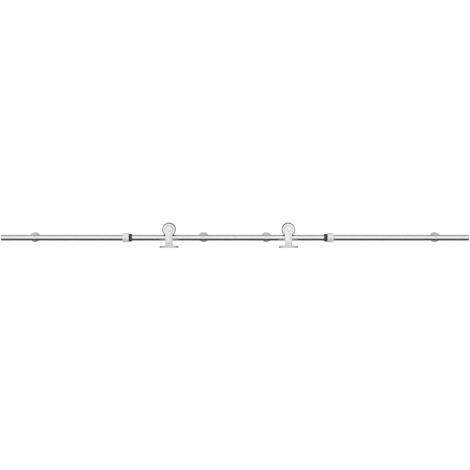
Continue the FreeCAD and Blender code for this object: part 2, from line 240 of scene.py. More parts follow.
def carve(piece, *cutters, operation="DIFFERENCE"):
    """Takes the cutters' shapes out of the piece, and the cutters out of the scene."""
    for cutter in cutters:
        apply_modifier(piece, "BOOLEAN", object=cutter, operation=operation, solver="EXACT")
        bpy.data.objects.remove(cutter)


def copied(piece, name, shift):
    """A moved copy with its own mesh."""
    only(piece)
    bpy.ops.object.duplicate()
    copy = bpy.context.object
    copy.name = name
    copy.location = Vector(shift)
    settle(copy)
    return copy


def joined(name, pieces):
    nothing_selected()
    for piece in pieces:
        piece.select_set(True)
    bpy.context.view_layer.objects.active = pieces[0]
    bpy.ops.object.join()
    bpy.context.object.name = name
    return bpy.context.object


def hex_cutter(centre, axis, across_flats, depth, overshoot=0.0005):
    """Six-sided cutter from a face into a screw head."""
    nothing_selected()
    length = depth + overshoot
    middle = centre + axis * (depth - overshoot) / 2
    bpy.ops.mesh.primitive_cylinder_add(
        vertices=6, radius=across_flats / math.sqrt(3), depth=length, location=middle, rotation=facing(axis)
    )
    settle(bpy.context.object)
    return bpy.context.object


def round_cutter(centre, axis, diameter, length, facets=48):
    """Round cutter that starts at a point and runs along an axis."""
    nothing_selected()
    bpy.ops.mesh.primitive_cylinder_add(
        vertices=facets, radius=diameter / 2, depth=length, location=centre + axis * length / 2,
        rotation=facing(axis),
    )
    settle(bpy.context.object)
    return bpy.context.object


def turning_map(piece, centre, axis):
    """UV map for turned marks: distance along the axis, and radius, both in metres."""
    layer = piece.data.uv_layers.get("turning") or piece.data.uv_layers.new(name="turning")
    piece.data.uv_layers.active = layer
    for loop in piece.data.loops:
        offset = piece.data.vertices[loop.vertex_index].co - centre
        along = offset.dot(axis)
        layer.data[loop.index].uv = (along, (offset - axis * along).length)


def finish(piece, material, body, node):
    """Smooth shading, material, body and the CAD node that the piece stands for."""
    smooth(piece)
    piece.data.materials.clear()
    piece.data.materials.append(MATERIALS[material])
    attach(piece, body)
    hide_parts(node)


def turned_piece(name, line, axis, outline, facets, rounding, segments=2, cutters=(), ring=True):
    """A lathed piece with rounded edges, then its cuts, then the map for its turning marks."""
    piece = lathe(name, line, axis, outline, facets, ring)
    round_edges(piece, rounding, segments)
    carve(piece, *cutters)
    turning_map(piece, line, axis)
    return piece


def middle_of(node):
    low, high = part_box(node)
    return (low + high) / 2


def line_of(node, axis):
    """The point where the line along an axis through a node's middle crosses zero."""
    middle = middle_of(node)
    return middle - axis * middle.dot(axis)


def radius_of(node):
    """The radius of a round node, from its height."""
    low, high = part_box(node)
    return (high.z - low.z) / 2


# Materials

def new_material(name):
    """An empty node material and its principled shader."""
    material = bpy.data.materials.new(name)
    material.use_nodes = True
    tree = material.node_tree
    shader = tree.nodes["Principled BSDF"]
    return material, tree, shader


def add_node(tree, kind, **settings):
    node = tree.nodes.new(kind)
    for key, value in settings.items():
        if key in node.inputs:
            node.inputs[key].default_value = value
        else:
            setattr(node, key, value)
    return node


def noise(tree, vector, scale, detail=3.0, stretch=(1, 1, 1)):
    """A noise whose pattern is stretched along the axes with small factors."""
    mapping = add_node(tree, "ShaderNodeMapping", Scale=stretch)
    tree.links.new(vector, mapping.inputs["Vector"])
    texture = add_node(tree, "ShaderNodeTexNoise", Scale=scale, Detail=detail)
    tree.links.new(mapping.outputs["Vector"], texture.inputs["Vector"])
    return texture.outputs["Fac"]


def ranged(tree, value, low, high, from_low=0.3, from_high=0.7):
    node = add_node(tree, "ShaderNodeMapRange")
    node.inputs["From Min"].default_value = from_low
    node.inputs["From Max"].default_value = from_high
    node.inputs["To Min"].default_value = low
    node.inputs["To Max"].default_value = high
    tree.links.new(value, node.inputs["Value"])
    return node.outputs["Result"]


def summed(tree, first, second):
    node = add_node(tree, "ShaderNodeMath", operation="ADD")
    tree.links.new(first, node.inputs[0])
    tree.links.new(second, node.inputs[1])
    return node.outputs["Value"]


def tinted(tree, factor, low, high):
    """A colour that moves between two shades."""
    node = add_node(tree, "ShaderNodeMix", data_type="RGBA")
    node.inputs[6].default_value = (*low, 1)
    node.inputs[7].default_value = (*high, 1)
    tree.links.new(factor, node.inputs[0])
    return node.outputs[2]


def bumped(tree, shader, height, distance, strength=1.0):
    node = add_node(tree, "ShaderNodeBump", Strength=strength, Distance=distance)
    tree.links.new(height, node.inputs["Height"])
    tree.links.new(node.outputs["Normal"], shader.inputs["Normal"])


def shaded(colour, share):
    """A colour at another strength, kept within white."""
    return tuple(min(1, channel * share) for channel in colour)


def brushed_steel(
    name, colour, roughness, stretch=(1, 1, 1), turned=False, grain=3200.0, depth=0.000004, metallic=1.0
):
    """Stainless steel with a fine grain, faint smudges and a slow drift in colour."""
    material, tree, shader = new_material(name)
    coordinates = add_node(tree, "ShaderNodeTexCoord")
    place = coordinates.outputs["Object"]
    if turned:
        turning = add_node(tree, "ShaderNodeUVMap", uv_map="turning")
        lines = noise(tree, turning.outputs["UV"], grain, 4.0)
    else:
        lines = noise(tree, place, grain, 4.0, stretch)
    smudges = noise(tree, place, 38.0, 5.0)
    drift = noise(tree, place, 6.0, 2.0)
    darker, lighter = [c * 0.965 for c in colour], [min(1, c * 1.03) for c in colour]
    shade = tinted(tree, ranged(tree, drift, 0, 1), darker, lighter)
    tree.links.new(shade, shader.inputs["Base Color"])
    grain_gloss = ranged(tree, lines, roughness * 0.72, roughness * 1.18)
    smudge_gloss = ranged(tree, smudges, -0.015, 0.03)
    tree.links.new(summed(tree, grain_gloss, smudge_gloss), shader.inputs["Roughness"])
    shader.inputs["Metallic"].default_value = metallic
    bumped(tree, shader, lines, depth)
    return material


def moulded(name, colour, roughness, grain, depth, sheen=0.0):
    """Matt moulding with a fine grain and a little dust in its pores."""
    material, tree, shader = new_material(name)
    coordinates = add_node(tree, "ShaderNodeTexCoord")
    place = coordinates.outputs["Object"]
    pores = noise(tree, place, grain, 6.0)
    patches = noise(tree, place, 90.0, 4.0)
    dusty = [c + 0.012 for c in colour]
    tree.links.new(tinted(tree, ranged(tree, patches, 0, 1), colour, dusty), shader.inputs["Base Color"])
    tree.links.new(ranged(tree, pores, roughness - 0.08, roughness + 0.1), shader.inputs["Roughness"])
    shader.inputs["Specular IOR Level"].default_value = 0.4
    shader.inputs["Sheen Weight"].default_value = sheen
    bumped(tree, shader, pores, depth)
    return material


MATERIALS = {}


def make_materials(values):
    steel, warm = tuple(values.steel), tuple(values.warm_steel)
    MATERIALS["rail"] = brushed_steel("Polished rail steel", steel, values.rail_gloss, (0.004, 1, 1))
    MATERIALS["bracket"] = brushed_steel(
        "Brushed strap steel", warm, values.flat_gloss, (1, 1, 0.02), depth=0.000006
    )
    # The foot plate is the hanger steel a tenth darker: painted shade for the dark surroundings that its
    # front and top reflect under the rail.
    MATERIALS["foot"] = brushed_steel(
        "Brushed foot steel with painted shade", shaded(warm, 0.9), values.flat_gloss, (0.02, 1, 1), depth=0.000006
    )
    MATERIALS["turned"] = brushed_steel("Turned steel", steel, values.turned_gloss, turned=True)
    MATERIALS["standoff"] = brushed_steel(
        "Turned standoff steel", shaded(steel, 0.84), values.standoff_gloss, turned=True
    )
    MATERIALS["satin"] = brushed_steel(
        "Blasted collar steel", shaded(steel, 0.87), values.satin_gloss, turned=True, grain=1500.0,
        depth=0.000012, metallic=0.5,
    )
    MATERIALS["wheel"] = brushed_steel(
        "Turned wheel steel", shaded(warm, 0.93), values.turned_gloss, turned=True, grain=2400.0,
        depth=0.000007,
    )
    MATERIALS["fastener"] = brushed_steel("Bright screw steel", shaded(steel, 0.93), 0.22, grain=1800.0)
    MATERIALS["inner"] = brushed_steel("Drawn inner steel", shaded(steel, 0.82), 0.38, (0.01, 1, 1))
    MATERIALS["bearing"] = brushed_steel(
        "Ground bearing steel", shaded(steel, 1.06), 0.1, grain=5000.0, depth=0.000001
    )
    MATERIALS["weld"] = brushed_steel("Weld bead", tuple(values.weld), 0.42, grain=900.0, depth=0.00003)
    MATERIALS["core"] = moulded("Black wheel core", tuple(values.polymer), 0.42, 2600.0, 0.00001)
    MATERIALS["rubber"] = moulded(
        "Black buffer rubber", tuple(values.rubber), 0.62, 1500.0, 0.00003, sheen=0.08
    )
    MATERIALS["cage"] = moulded("Bearing cage resin", tuple(values.cage), 0.5, 2000.0, 0.00001)
    MATERIALS["floor"] = floor_material()


def floor_material():
    material, tree, shader = new_material("Pale studio floor")
    coordinates = add_node(tree, "ShaderNodeTexCoord")
    mottle = noise(tree, coordinates.outputs["Object"], 3.0, 4.0)
    shade = tinted(tree, mottle, (0.90, 0.90, 0.90), (0.93, 0.93, 0.93))
    tree.links.new(shade, shader.inputs["Base Color"])
    shader.inputs["Roughness"].default_value = 0.9
    shader.inputs["Emission Color"].default_value = (1, 1, 1, 1)
    shader.inputs["Emission Strength"].default_value = 0.5
    return material


class TRACK_OT_materials(bpy.types.Operator):
    """Makes the materials and gives them to the CAD nodes that stay in view"""

    bl_idname = "track.materials"
    bl_label = "Materials"

    def execute(self, context):
        make_materials(context.scene.track_finish)
        kept = {"rail_joiner": "inner"}
        for side in SIDES:
            kept[side + "_bearing_balls"] = "bearing"
            kept[side + "_bearing_cages"] = "cage"
        for node, material in kept.items():
            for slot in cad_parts[node].material_slots:
                slot.material = MATERIALS[material]
        return {"FINISHED"}


# Rail

class TRACK_OT_rail(bpy.types.Operator):
    """Two polished tubes, their end caps and the set screws that hold the joiner"""

    bl_idname = "track.rail"
    bl_label = "Rail"
    countersink_mouth = 0.0062    # radius of the countersink's cone where its cutter starts
    cap_round = 0.0007

    def tube(self, side, sizes):
        node = "rail_tube_" + side
        low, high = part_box(node)
        line, radius = line_of(node, X), radius_of(node)
        bore = radius - sizes.rail_wall
        near = 0.009
        holes = [middle_of("standoff_post_" + name).x for name in STANDOFFS]
        holes = [x for x in holes if low.x < x < high.x]
        inner = [x for x in self.joiner_screws(sizes) if low.x < x < high.x]
        stations = sorted(x + step for x in holes + inner for step in (-near, near))
        outline = [(low.x, bore), (low.x, radius)]
        outline += [(x, radius) for x in stations]
        outline += [(high.x, radius), (high.x, bore)]
        outline += [(x, bore) for x in reversed(stations)]
        piece = lathe(node + "_finished", line, X, outline, sizes.facets)
        round_edges(piece, sizes.edge / 2)
        mouth, plain = self.countersink_mouth, sizes.screw_hole / 2
        front = -radius - PAST
        outline = [(front, mouth), (front + mouth - plain, plain), (2 * radius, plain)]
        for x in holes:
            carve(piece, lathe("countersink", line + X * x, Y, outline, 64, ring=False))
        for x in inner:
            carve(piece, round_cutter(line + X * x, Y, sizes.set_screw + SCREW_PLAY, 2 * radius))
        finish(piece, "rail", "rail_assembly", node)

    def joiner_screws(self, sizes):
        """Where the joiner's set screws are: the outer pair gives the box, the inner is a third out."""
        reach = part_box("joiner_set_screws")[1].x - sizes.set_screw / 2
        return [sign * reach * share for sign in (-1, 1) for share in (1, 1 / 3)]

    def cap(self, side, sizes):
        node, tube = "end_cap_" + side, "rail_tube_" + side
        ends = [corner.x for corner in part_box(node)]
        tube_ends = [corner.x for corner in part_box(tube)]
        radius = radius_of(node)
        plug = radius - sizes.rail_wall - 2 * FIT
        out = 1 if side == "right" else -1
        far, seat, inside = max(ends, key=abs), max(tube_ends, key=abs), min(ends, key=abs)
        outline = [
            (inside, plug - TIP), (inside + out * TIP, plug), (seat, plug), (seat, radius), (far, radius),
        ]
        piece = turned_piece(
            node + "_finished", line_of(node, X), X, outline, sizes.facets, self.cap_round, 3, ring=False
        )
        finish(piece, "turned", "rail_assembly", node)

    def set_screws(self, sizes):
        node = "joiner_set_screws"
        low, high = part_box(node)
        height = (low.z + high.z) / 2
        screws = [
            set_screw("joiner_screw", Vector((x, high.y, height)), -Y, sizes.set_screw, high.y - low.y)
            for x in self.joiner_screws(sizes)
        ]
        piece = joined(node + "_finished", screws)
        finish(piece, "fastener", "rail_assembly", node)

    def execute(self, context):
        sizes = context.scene.track_sizes
        for side in SIDES:
            self.tube(side, sizes)
            self.cap(side, sizes)
        self.set_screws(sizes)
        return {"FINISHED"}


def set_screw(name, mouth, way, diameter, length, rounding=0.00035, socket_depth=0.45):
    """Socket set screw that starts at its outer end and runs inwards."""
    radius = diameter / 2
    outline = [(0, radius), (length, radius)]
    piece = lathe(name, mouth, way, outline, 32, ring=False)
    round_edges(piece, rounding)
    carve(piece, hex_cutter(mouth, way, diameter / 2, length * socket_depth))
    return piece


# Standoffs

class TRACK_OT_standoffs(bpy.types.Operator):
    """Four wall flanges and posts, the screws through the rail and the posts' set screws"""

    bl_idname = "track.standoffs"
    bl_label = "Wall standoffs"
    broken_edge = 0.0008
    neck_start = 0.7              # where the neck begins, as a share of the rail's radius
    rail_socket_depth = 0.0022

    def flange(self, sizes):
        node = "wall_flange_" + STANDOFFS[0]
        line, radius = line_of(node, Y), radius_of(node)
        tip, wall = (corner.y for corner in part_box(node))
        face, pocket = wall - sizes.flange, tip + sizes.wall_head_depth
        hole, head, spigot = sizes.wall_hole / 2, sizes.wall_head / 2, sizes.spigot / 2
        outline = [
            (wall, hole), (wall, radius), (face, radius), (face, spigot), (tip, spigot),
            (tip, head), (pocket, head), (pocket, hole),
        ]
        return turned_piece("wall_flange", line, Y, outline, 96, self.broken_edge, 3)

    def post(self, sizes):
        """A post with its neck, its seat for the rail, its socket for the spigot and its cross hole."""
        node = "standoff_post_" + STANDOFFS[0]
        line, radius = line_of(node, Y), radius_of(node)
        low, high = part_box(node)
        rail, rail_radius = line_of("rail_tube_left", X), radius_of("rail_tube_left")
        neck, wall = sizes.neck / 2, high.y
        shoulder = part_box("left_wheel_hub")[1].y + sizes.pass_gap
        bore, socket = sizes.screw_shank / 2 + FIT, sizes.spigot / 2 + FIT
        socket_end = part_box("wall_flange_" + STANDOFFS[0])[0].y - FIT
        start = rail.y + rail_radius * self.neck_start
        outline = [
            (start, bore), (start, neck), (shoulder, neck), (shoulder, radius), (wall, radius),
            (wall, socket), (socket_end, socket), (socket_end, bore),
        ]
        seat = rail + X * (line.x - radius)
        mouth = Vector((line.x, middle_of("post_set_screws").y, low.z - 2 * PAST))
        cutters = [
            round_cutter(seat, X, 2 * rail_radius, 2 * radius, sizes.facets),
            round_cutter(mouth, Z, sizes.set_screw + 2 * FIT, radius),
        ]
        return turned_piece("standoff_post", line, Y, outline, 96, self.broken_edge, 3, cutters)

    def rail_screw(self, sizes):
        low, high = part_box("rail_screws")
        head, shank, rim = (high.z - low.z) / 2, sizes.screw_shank / 2, 0.0003
        line = Vector((low.x + head, 0, (low.z + high.z) / 2))
        outline = [
            (low.y, head - rim), (low.y + rim, head), (low.y + head - shank, shank),
            (high.y - TIP, shank), (high.y, shank - TIP),
        ]
        piece = lathe("rail_screw", line, Y, outline, 64, ring=False)
        carve(piece, hex_cutter(line + Y * low.y, Y, sizes.rail_socket, self.rail_socket_depth))
        turning_map(piece, line, Y)
        return piece

    def post_screw(self, sizes):
        low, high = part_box("post_set_screws")
        mouth = Vector((low.x + sizes.set_screw / 2, (low.y + high.y) / 2, low.z))
        return set_screw("post_screw", mouth, Z, sizes.set_screw, high.z - low.z)

    def execute(self, context):
        sizes = context.scene.track_sizes
        places = [middle_of("standoff_post_" + name).x for name in STANDOFFS]
        flange, post = self.flange(sizes), self.post(sizes)
        rail_screw, post_screw = self.rail_screw(sizes), self.post_screw(sizes)
        rail_screws, post_screws = [], []
        for name, x in zip(STANDOFFS, places):
            shift = X * (x - places[0])
            node = "wall_flange_" + name
            piece = copied(flange, node + "_finished", shift)
            finish(piece, "standoff", "rail_assembly", node)
            node = "standoff_post_" + name
            piece = copied(post, node + "_finished", shift)
            finish(piece, "standoff", "rail_assembly", node)
            rail_screws.append(copied(rail_screw, "rail_screw_copy", shift))
            post_screws.append(copied(post_screw, "post_screw_copy", shift))
        for original in (flange, post, rail_screw, post_screw):
            bpy.data.objects.remove(original)
        piece = joined("rail_screws_finished", rail_screws)
        finish(piece, "fastener", "rail_assembly", "rail_screws")
        piece = joined("post_set_screws_finished", post_screws)
        finish(piece, "fastener", "rail_assembly", "post_set_screws")
        return {"FINISHED"}


# Hangers

class TRACK_OT_hanger_frames(bpy.types.Operator):
    """Strap, foot plate, weld and anti-jump pin of both hangers"""

    bl_idname = "track.hanger_frames"
    bl_label = "Hanger frames"
    foot_top_round = 0.0015
    pin_round = 0.001
    ripples = 16                  # in a weld bead
    bead = 0.8                    # a ripple's radius to the weld's height, and its length to its radius

    def block(self, name, low, high):
        nothing_selected()
        bpy.ops.mesh.primitive_cube_add(size=1, location=(low + high) / 2)
        piece = bpy.context.object
        piece.name = name
        piece.scale = high - low
        settle(piece)
        return piece

    def round_corners(self, piece, test, radius, segments):
        """Bevels the edges whose two ends both pass a test."""
        only(piece)
        bpy.ops.object.mode_set(mode="EDIT")
        bpy.ops.mesh.select_mode(type="EDGE")
        bpy.ops.mesh.select_all(action="DESELECT")
        mesh = bmesh.from_edit_mesh(piece.data)
        for edge in mesh.edges:
            if test(edge.verts[0].co, edge.verts[1].co):
                edge.select_set(True)
        bmesh.update_edit_mesh(piece.data)
        bpy.ops.mesh.bevel(offset=radius, segments=segments, affect="EDGES")
        bpy.ops.mesh.select_all(action="SELECT")
        bpy.ops.mesh.remove_doubles(threshold=FIT)
        bpy.ops.object.mode_set(mode="OBJECT")

    def strap(self, side, sizes):
        node = side + "_strap"
        low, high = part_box(node)
        piece = self.block(node + "_finished", low, high)
        half = (high.x - low.x) / 2 - HAIR
        self.round_corners(
            piece, lambda a, b: min(a.z, b.z) > high.z - HAIR and abs(a.x - b.x) < WELD, half, 40
        )
        round_edges(piece, sizes.edge * 1.2, 3)
        holes = (("_axle_bolt", sizes.bearing_bore + 2 * FIT), ("_anti_jump_screw", sizes.strap_hole))
        for name, width in holes:
            front = line_of(side + name, Y) + Y * (low.y - PAST)
            carve(piece, round_cutter(front, Y, width, high.y - low.y + 5 * PAST))
        finish(piece, "bracket", side + "_hanger", node)

    def foot(self, side, sizes):
        """A plate with half-round ends and two countersunk holes."""
        node = side + "_foot_plate"
        low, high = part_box(node)
        piece = self.block(node + "_finished", low, high)
        half = (high.y - low.y) / 2 - HAIR
        self.round_corners(piece, lambda a, b: abs(a.z - b.z) > HAIR, half, 36)
        self.round_corners(piece, lambda a, b: min(a.z, b.z) > high.z - HAIR, self.foot_top_round, 4)
        round_edges(piece, sizes.edge, 3)
        hole, head = sizes.foot_hole / 2, sizes.foot_head / 2
        outline = [
            (low.z - PAST, hole), (high.z - (head - hole), hole), (high.z + PAST, head + PAST),
        ]
        line = line_of(node, Z)
        for way in (-1, 1):
            place = line + X * way * sizes.foot_spacing / 2
            carve(piece, lathe("foot_hole", place, Z, outline, 48, ring=False))
        finish(piece, "foot", side + "_hanger", node)

    def weld(self, side):
        """A row of overlapping ripples along the foot of the strap."""
        node = side + "_foot_weld"
        low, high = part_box(node)
        radius = (high.z - low.z) * self.bead
        pieces = []
        for number in range(self.ripples):
            nothing_selected()
            share = (number + 0.5) / self.ripples
            along = low.x + radius / 2 + (high.x - low.x - radius) * share
            bpy.ops.mesh.primitive_uv_sphere_add(
                segments=20, ring_count=12, radius=radius, location=(along, low.y, low.z)
            )
            ripple = bpy.context.object
            ripple.scale.x = self.bead
            settle(ripple)
            pieces.append(ripple)
        piece = pieces[0]
        carve(piece, *pieces[1:], operation="UNION")
        corner = self.block("corner", low, high + (Y + Z) * PAST)
        carve(piece, corner, operation="INTERSECT")
        piece.name = node + "_finished"
        finish(piece, "weld", side + "_hanger", node)

    def jump_pin(self, side, sizes):
        node = side + "_anti_jump_pin"
        low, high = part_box(node)
        line, radius = line_of(node, Y), radius_of(node)
        outline = [(low.y, radius), (high.y, radius)]
        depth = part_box(side + "_anti_jump_screw")[1].y - low.y
        front = line + Y * (low.y - PAST)
        cutters = [round_cutter(front, Y, sizes.screw_shank + 2 * FIT, depth + 2 * PAST)]
        piece = turned_piece(
            node + "_finished", line, Y, outline, 64, self.pin_round, 3, cutters, ring=False
        )
        finish(piece, "turned", side + "_hanger", node)

    def jump_screw(self, side, sizes):
        """A low button head; its dome rounds the outer part of the head."""
        node = side + "_anti_jump_screw"
        low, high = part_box(node)
        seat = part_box(side + "_strap")[0].y
        line, head, shank = line_of(node, Y), radius_of(node), sizes.screw_shank / 2
        height, dome = seat - low.y, 0.45 * head
        turns = [math.radians(step) for step in (90, 72, 54, 36, 18, 0)]
        outline = [(seat - height * math.sin(turn), head - dome * (1 - math.cos(turn))) for turn in turns]
        outline += [(seat, shank), (high.y - TIP, shank), (high.y, shank - TIP)]
        piece = lathe(node + "_finished", line, Y, outline, 64, ring=False)
        carve(piece, hex_cutter(line + Y * low.y, Y, sizes.pin_socket, height * SOCKET_SHARE))
        turning_map(piece, line, Y)
        finish(piece, "fastener", side + "_hanger", node)

    def execute(self, context):
        sizes = context.scene.track_sizes
        for side in SIDES:
            self.strap(side, sizes)
            self.foot(side, sizes)
            self.weld(side)
            self.jump_pin(side, sizes)
            self.jump_screw(side, sizes)
        return {"FINISHED"}


class TRACK_OT_wheels(bpy.types.Operator):
    """Wheel plates, grooved core, hub and bearings of both hangers"""

    bl_idname = "track.wheels"
    bl_label = "Wheels"
    groove_steps = 24
    rib_height = 0.0011           # between the two bearing seats
    race_depth = 0.0007           # ball grooves in the rings
    race_half = 0.0013
    ring_round = 0.0002

    def part(self, side, name, outline, material, slot, facets=96, rounding=0.0003):
        """A turned part of the wheel; its outline is measured from the rail's middle plane."""
        piece = turned_piece(side + name + "_finished", self.centre, Y, outline, facets, rounding, 3)
        finish(piece, material, side + "_wheel", side + name)

    def plate(self, side, name, material, slot, sizes):
        """A side plate with a rounded rim and a shallow step round the hub."""
        low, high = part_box(side + name)
        radius, bore, step = radius_of(side + name), self.hub_radius, 0.0004
        outer, inner = sorted((low.y - self.centre.y, high.y - self.centre.y), key=abs, reverse=True)
        way = 1 if outer < inner else -1
        outline = [(inner, bore), (inner, radius)]
        outline += rounded_corner(outer, radius, way, sizes.rim_round, 8)
        outline += [
            (outer, bore + 4 * step), (outer + way * step, bore + 3 * step), (outer + way * step, bore),
        ]
        self.part(side, name, outline, material, slot, sizes.facets)

    def core(self, side, sizes):
        """The core's groove follows the rail with a small gap."""
        name = "_wheel_core"
        low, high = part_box(side + name)
        half, radius = (high.y - low.y) / 2, radius_of(side + name)
        groove = radius_of("rail_tube_left") + ROLL_GAP
        drop = self.centre.z - line_of("rail_tube_left", X).z
        reach = math.acos((drop - radius) / groove)
        turns = [-reach + 2 * reach * number / self.groove_steps for number in range(self.groove_steps + 1)]
        groove_arc = [(groove * math.sin(turn), drop - groove * math.cos(turn)) for turn in turns]
        outline = [(-half, self.hub_radius), (-half, radius)] + groove_arc
        outline += [(half, radius), (half, self.hub_radius)]
        self.part(side, name, outline, "core", "core_polymer", sizes.facets, rounding=0.0004)

    def hub(self, side, sizes):
        """A bush with a seat for a bearing at each end and a rib between them."""
        name = "_wheel_hub"
        low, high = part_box(side + name)
        ring_low, ring_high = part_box(side + "_bearing_outer_rings")
        half, seat = (high.y - low.y) / 2, (ring_high.z - ring_low.z) / 2
        shoulder = (ring_high.y - ring_low.y) / 2 - sizes.bearing_width
        rib = seat - self.rib_height
        outline = [
            (-half, seat), (-half, self.hub_radius), (half, self.hub_radius), (half, seat),
            (shoulder, seat), (shoulder, rib), (-shoulder, rib), (-shoulder, seat),
        ]
        self.part(side, name, outline, "turned", "turned_steel")

    def outer_ring(self, middle, half, lip, seat):
        outline = [
            (middle - half, lip), (middle - half, seat), (middle + half, seat), (middle + half, lip),
            (middle + self.race_half, lip), (middle, lip + self.race_depth), (middle - self.race_half, lip),
        ]
        return lathe("outer_ring", self.centre, Y, outline, 96)

    def inner_ring(self, middle, half, bore, land):
        outline = [
            (middle - half, bore), (middle - half, land), (middle - self.race_half, land),
            (middle, land - self.race_depth), (middle + self.race_half, land), (middle + half, land),
            (middle + half, bore),
        ]
        return lathe("inner_ring", self.centre, Y, outline, 96)

    def shield(self, outside, end, land, lip):
        """A thin ring with a pressed step; end points out of the bearing."""
        sheet, press, fold = 0.0004, 0.00015, 0.0003
        inside, step, mouth = outside - end * sheet, outside - end * press, land + press
        outline = [
            (inside, mouth), (inside, lip), (outside, lip), (outside, lip - 2 * fold), (step, lip - 3 * fold),
            (step, land + 2 * fold), (outside, land + fold), (outside, mouth),
        ]
        return lathe("shield", self.centre, Y, outline, 96)

    def bearings(self, side, sizes):
        """Rings and shields, one set at each end of the hub."""
        outer_low, outer_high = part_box(side + "_bearing_outer_rings")
        half, seat = sizes.bearing_width / 2, (outer_high.z - outer_low.z) / 2
        middles = [way * ((outer_high.y - outer_low.y) / 2 - half) for way in (-1, 1)]
        land, lip = radius_of(side + "_bearing_inner_rings"), radius_of(side + "_bearing_shields")
        bore = sizes.bearing_bore / 2 + FIT
        groups = (
            ("_bearing_outer_rings", "_wheel", [self.outer_ring(y, half, lip, seat) for y in middles]),
            ("_bearing_inner_rings", "_hanger", [self.inner_ring(y, half, bore, land) for y in middles]),
            ("_bearing_shields", "_wheel", [
                self.shield(y + end * (half - 2 * FIT), end, land, lip) for y in middles for end in (-1, 1)
            ]),
        )
        for name, body, rings in groups:
            piece = joined(side + name + "_finished", rings)
            if name != "_bearing_shields":
                round_edges(piece, self.ring_round)
            turning_map(piece, self.centre, Y)
            finish(piece, "bearing", side + body, side + name)

    def execute(self, context):
        sizes = context.scene.track_sizes
        for side in SIDES:
            self.centre = middle_of(side + "_wheel_hub")
            self.hub_radius = radius_of(side + "_wheel_hub")
            self.plate(side, "_wheel_front_plate", "wheel", "wheel_steel", sizes)
            self.plate(side, "_wheel_back_plate", "core", "core_polymer", sizes)
            self.core(side, sizes)
            self.hub(side, sizes)
            self.bearings(side, sizes)
        return {"FINISHED"}


class TRACK_OT_axles(bpy.types.Operator):
    """Axle bolts, nuts and spacers of both hangers"""

    bl_idname = "track.axles"
    bl_label = "Axles"
    turned_round = 0.0003

    def bolt(self, side, sizes):
        node = side + "_axle_bolt"
        low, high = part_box(node)
        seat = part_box(side + "_strap")[0].y
        line, head, shank = line_of(node, Y), radius_of(node), sizes.bearing_bore / 2
        rim, tip = sizes.edge, 0.0008
        outline = [
            (low.y, head - rim), (low.y + rim, head), (seat, head), (seat, shank), (high.y - tip, shank),
            (high.y, shank - tip),
        ]
        cutters = [hex_cutter(line + Y * low.y, Y, sizes.axle_socket, (seat - low.y) * SOCKET_SHARE)]
        piece = turned_piece(
            node + "_finished", line, Y, outline, 96, self.turned_round, 3, cutters, ring=False
        )
        finish(piece, "turned", side + "_hanger", node)

    def nut(self, side, sizes):
        """A hexagon with its points up, turned to a slight crown at both ends."""
        node = side + "_axle_nut"
        low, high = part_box(node)
        line, flats = line_of(node, Y), (high.x - low.x) / 2
        points, height = flats * 2 / math.sqrt(3), high.y - low.y
        nothing_selected()
        bpy.ops.mesh.primitive_cylinder_add(
            vertices=6, radius=points, depth=height, location=(low + high) / 2, rotation=facing(Y)
        )
        piece = bpy.context.object
        piece.name = node + "_finished"
        settle(piece)
        clear, front_crown, back_crown = points + 2 * FIT, 0.0006, 0.0009
        crown = [
            (low.y, flats), (low.y + front_crown, clear), (high.y - back_crown, clear), (high.y, flats),
        ]
        carve(piece, lathe("nut_crown", line, Y, crown, 96, ring=False), operation="INTERSECT")
        front = line + Y * (low.y - PAST)
        carve(piece, round_cutter(front, Y, sizes.bearing_bore + 2 * FIT, height + 2 * PAST))
        round_edges(piece, 0.00015)
        finish(piece, "fastener", side + "_hanger", node)

    def spacer(self, side, name, sizes):
        node = side + name
        low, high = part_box(node)
        line, radius, bore = line_of(node, Y), radius_of(node), sizes.bearing_bore / 2 + FIT
        outline = [(low.y, bore), (low.y, radius), (high.y, radius), (high.y, bore)]
        piece = turned_piece(node + "_finished", line, Y, outline, 64, self.turned_round)
        finish(piece, "turned", side + "_hanger", node)

    def execute(self, context):
        sizes = context.scene.track_sizes
        for side in SIDES:
            self.bolt(side, sizes)
            self.nut(side, sizes)
            for name in ("_axle_front_spacer", "_axle_middle_spacer", "_axle_rear_spacer"):
                self.spacer(side, name, sizes)
        return {"FINISHED"}


